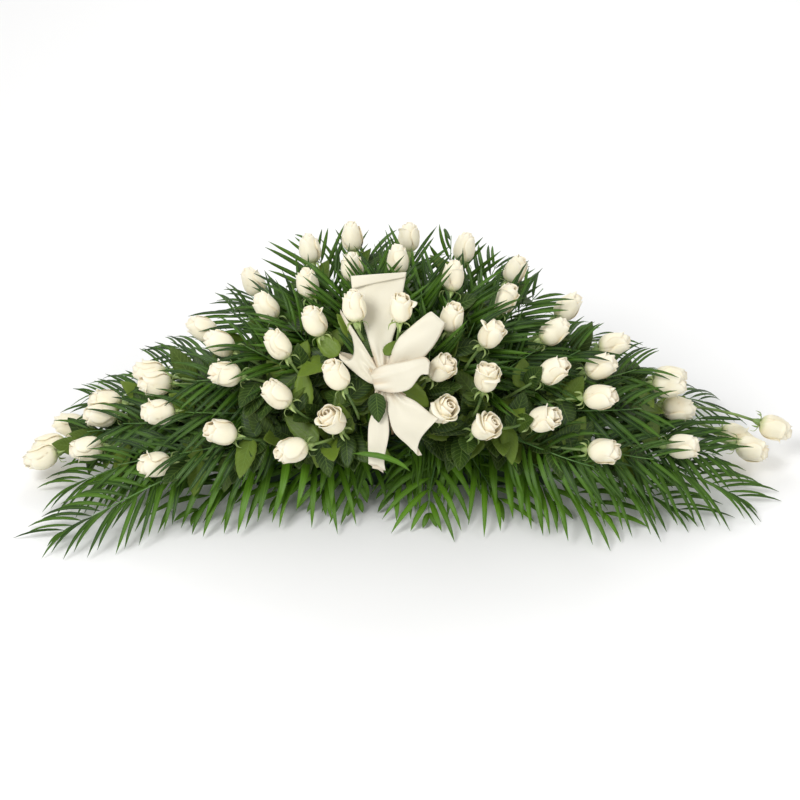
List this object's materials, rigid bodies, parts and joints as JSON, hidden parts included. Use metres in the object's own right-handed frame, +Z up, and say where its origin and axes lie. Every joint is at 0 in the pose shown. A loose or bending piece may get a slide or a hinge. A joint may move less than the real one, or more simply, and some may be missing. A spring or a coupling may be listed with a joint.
{
  "type": "casket spray",
  "caption": "Long low arch of white rosebuds, palm fronds and rose leaves in floral foam on a tray, with a ribbon bow at the front.",
  "frame": {"origin": "middle of the tray's flat underside, on the surface that the spray rests on", "axes": "+Z up, +X along the spray, -Y towards the person who looks at it"},
  "size_m": [1.3242, 0.6356, 0.4516],
  "materials": {
    "petal": "soft, matt, creamy white petals",
    "green": "leaf green with a waxy sheen",
    "ribbon": "satin",
    "foam": "wet floral foam, matt",
    "tray": "moulded, satin",
    "wood": "plain turned stake"
  },
  "bodies": {
    "root": {"bow_stake": "wood", "foam_brick_left": "foam", "foam_brick_right": "foam", "greens_back_left": "green", "greens_back_right": "green", "greens_front_left": "green", "greens_front_right": "green", "holder_tray": "tray", "ribbon_bow": "ribbon", "rose_head_01_02": "petal", "rose_head_03": "petal", "rose_head_04": "petal", "rose_head_05_06": "petal", "rose_head_07_08": "petal", "rose_head_09": "petal", "rose_head_10": "petal", "rose_head_11": "petal", "rose_head_12": "petal", "rose_head_13": "petal", "rose_head_14": "petal", "rose_head_15": "petal", "rose_head_16": "petal", "rose_head_17": "petal", "rose_head_18": "petal", "rose_head_19": "petal", "rose_head_20": "petal", "rose_head_21": "petal", "rose_head_22": "petal", "rose_head_23": "petal", "rose_head_24": "petal", "rose_head_25": "petal", "rose_head_26": "petal", "rose_head_27": "petal", "rose_head_28": "petal", "rose_head_29": "petal", "rose_head_30": "petal", "rose_head_31": "petal", "rose_head_32": "petal", "rose_head_33": "petal", "rose_head_34": "petal", "rose_head_35": "petal", "rose_head_36": "petal", "rose_head_37": "petal", "rose_head_38": "petal", "rose_head_39": "petal", "rose_head_40": "petal", "rose_head_41": "petal", "rose_head_42": "petal", "rose_head_43": "petal", "rose_head_44": "petal", "rose_head_45": "petal", "rose_head_46": "petal", "rose_head_47": "petal", "rose_head_48": "petal", "rose_head_49_50": "petal", "rose_head_51": "petal", "rose_head_52": "petal", "rose_head_53_54": "petal", "rose_head_55": "petal"}
  },
  "joints": []
}
